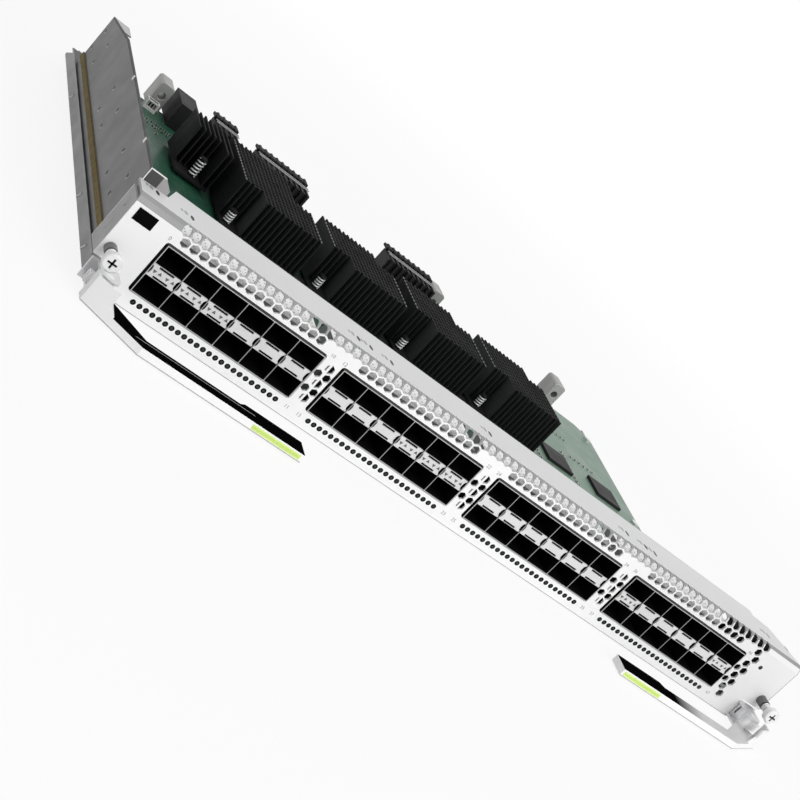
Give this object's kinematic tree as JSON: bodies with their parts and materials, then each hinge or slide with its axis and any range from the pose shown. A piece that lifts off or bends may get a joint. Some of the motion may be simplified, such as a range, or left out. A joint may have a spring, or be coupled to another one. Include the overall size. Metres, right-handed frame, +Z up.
{
  "type": "switch line card",
  "caption": "Network switch line card on a sheet-metal tray: pluggable ports, vented front panel, heat sinks, rear connectors, two ejector levers and captive screws.",
  "frame": {"origin": "middle of the tray's underside, taken on the panel's front face and the tray's rear edge", "axes": "+X runs left to right along the front panel, +Y from the front panel to the rear connectors, +Z up from the tray to the board's component side"},
  "size_m": [0.4324, 0.3263, 0.0512],
  "materials": {
    "panel_metal": "satin",
    "polished_metal": "gloss",
    "cage_metal": "satin",
    "spring_steel": "gloss",
    "board_laminate": "satin",
    "heat_sink_metal": "matte",
    "connector_plastic": "matte",
    "clear_plastic": "satin",
    "white_plastic": "matte",
    "guide_metal": "satin",
    "gasket_fabric": "matte",
    "lime_plastic": "matte",
    "black_plastic": "satin"
  },
  "bodies": {
    "card": {"faceplate": "panel_metal", "side_wall": "panel_metal", "base_tray": "panel_metal", "left_lever_bracket": "panel_metal", "right_lever_bracket": "panel_metal", "left_lever_pin": "polished_metal", "right_lever_pin": "polished_metal", "port_cage_1": "cage_metal", "port_cage_2": "cage_metal", "port_cage_3": "cage_metal", "port_cage_4": "cage_metal", "cage_floor_1": "cage_metal", "cage_floor_2": "cage_metal", "cage_floor_3": "cage_metal", "cage_floor_4": "cage_metal", "cage_dividers_1": "cage_metal", "cage_dividers_2": "cage_metal", "cage_dividers_3": "cage_metal", "cage_dividers_4": "cage_metal", "sink_springs": "spring_steel", "sink_screws": "spring_steel", "left_screw_spring": "spring_steel", "right_screw_spring": "spring_steel", "board_screws": "spring_steel", "standoffs": "spring_steel", "main_board": "board_laminate", "heat_sink_1": "heat_sink_metal", "heat_sink_2": "heat_sink_metal", "heat_sink_3": "heat_sink_metal", "heat_sink_4": "heat_sink_metal", "end_heat_sink": "heat_sink_metal", "signal_connector_1": "connector_plastic", "signal_connector_2": "connector_plastic", "signal_connector_3": "connector_plastic", "power_connector": "connector_plastic", "host_connectors": "connector_plastic", "board_components": "connector_plastic", "switch_chips": "connector_plastic", "port_spacers_1": "clear_plastic", "port_spacers_2": "clear_plastic", "port_spacers_3": "clear_plastic", "port_spacers_4": "clear_plastic", "pin_header": "white_plastic", "left_guide": "guide_metal", "middle_guide": "guide_metal", "right_guide": "guide_metal", "emi_gasket": "gasket_fabric", "label_plate": "black_plastic", "left_screw_ferrule": "black_plastic", "right_screw_ferrule": "black_plastic"},
    "left_lever": {"left_lever": "polished_metal", "left_lever_grip": "lime_plastic"},
    "right_lever": {"right_lever": "polished_metal", "right_lever_grip": "lime_plastic"},
    "left_screw_carrier": {"left_screw_washer": "polished_metal"},
    "right_screw_carrier": {"right_screw_washer": "polished_metal"},
    "left_screw": {"left_screw": "polished_metal"},
    "right_screw": {"right_screw": "polished_metal"}
  },
  "joints": [
    {"name": "left_lever_pivot", "type": "hinge", "parent": "card", "child": "left_lever", "pos_m": [-0.2071, -0.154, 0.006], "axis": [0, 0, -1], "range_deg": [0, 60]},
    {"name": "left_screw_travel", "type": "slide", "parent": "card", "child": "left_screw_carrier", "axis": [0, 1, 0], "range_m": [0, 0.0035], "deforming": ["left_screw_spring"]},
    {"name": "left_screw_turn", "type": "hinge", "parent": "left_screw_carrier", "child": "left_screw", "pos_m": [-0.2118, -0.145, 0.0186], "axis": [0, 1, 0], "continuous": true},
    {"name": "right_lever_pivot", "type": "hinge", "parent": "card", "child": "right_lever", "pos_m": [0.2071, -0.154, 0.006], "axis": [0, 0, 1], "range_deg": [0, 60]},
    {"name": "right_screw_travel", "type": "slide", "parent": "card", "child": "right_screw_carrier", "axis": [0, 1, 0], "range_m": [0, 0.0035], "deforming": ["right_screw_spring"]},
    {"name": "right_screw_turn", "type": "hinge", "parent": "right_screw_carrier", "child": "right_screw", "pos_m": [0.2118, -0.145, 0.0186], "axis": [0, 1, 0], "continuous": true}
  ]
}
